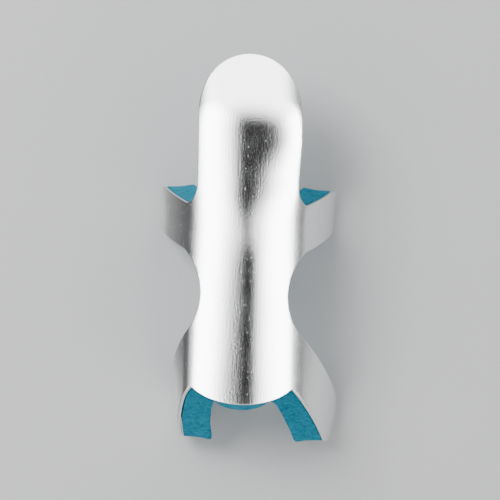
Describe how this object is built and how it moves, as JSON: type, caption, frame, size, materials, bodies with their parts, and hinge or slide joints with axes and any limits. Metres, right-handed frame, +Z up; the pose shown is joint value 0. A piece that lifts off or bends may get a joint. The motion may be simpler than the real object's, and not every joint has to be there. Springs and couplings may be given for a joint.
{
  "type": "finger splint",
  "caption": "Finger splint: a formed aluminium shell with four folded wings, lined with a thick blue foam pad.",
  "frame": {"origin": "on the surface that the splint stands on, under the middle of its bounding box", "axes": "+Y to the fingertip end, +X to the right wings seen from the metal back, +Z up through the metal back"},
  "size_m": [0.0416, 0.0876, 0.0321],
  "materials": {
    "aluminium": "cold-rolled sheet, bright satin with a fine lengthwise grain and small scuffs",
    "blue_foam": "matt, fine closed-cell foam with die-cut edges"
  },
  "bodies": {
    "root": {"aluminium_shell": "aluminium", "foam_pad": "blue_foam"}
  },
  "joints": []
}
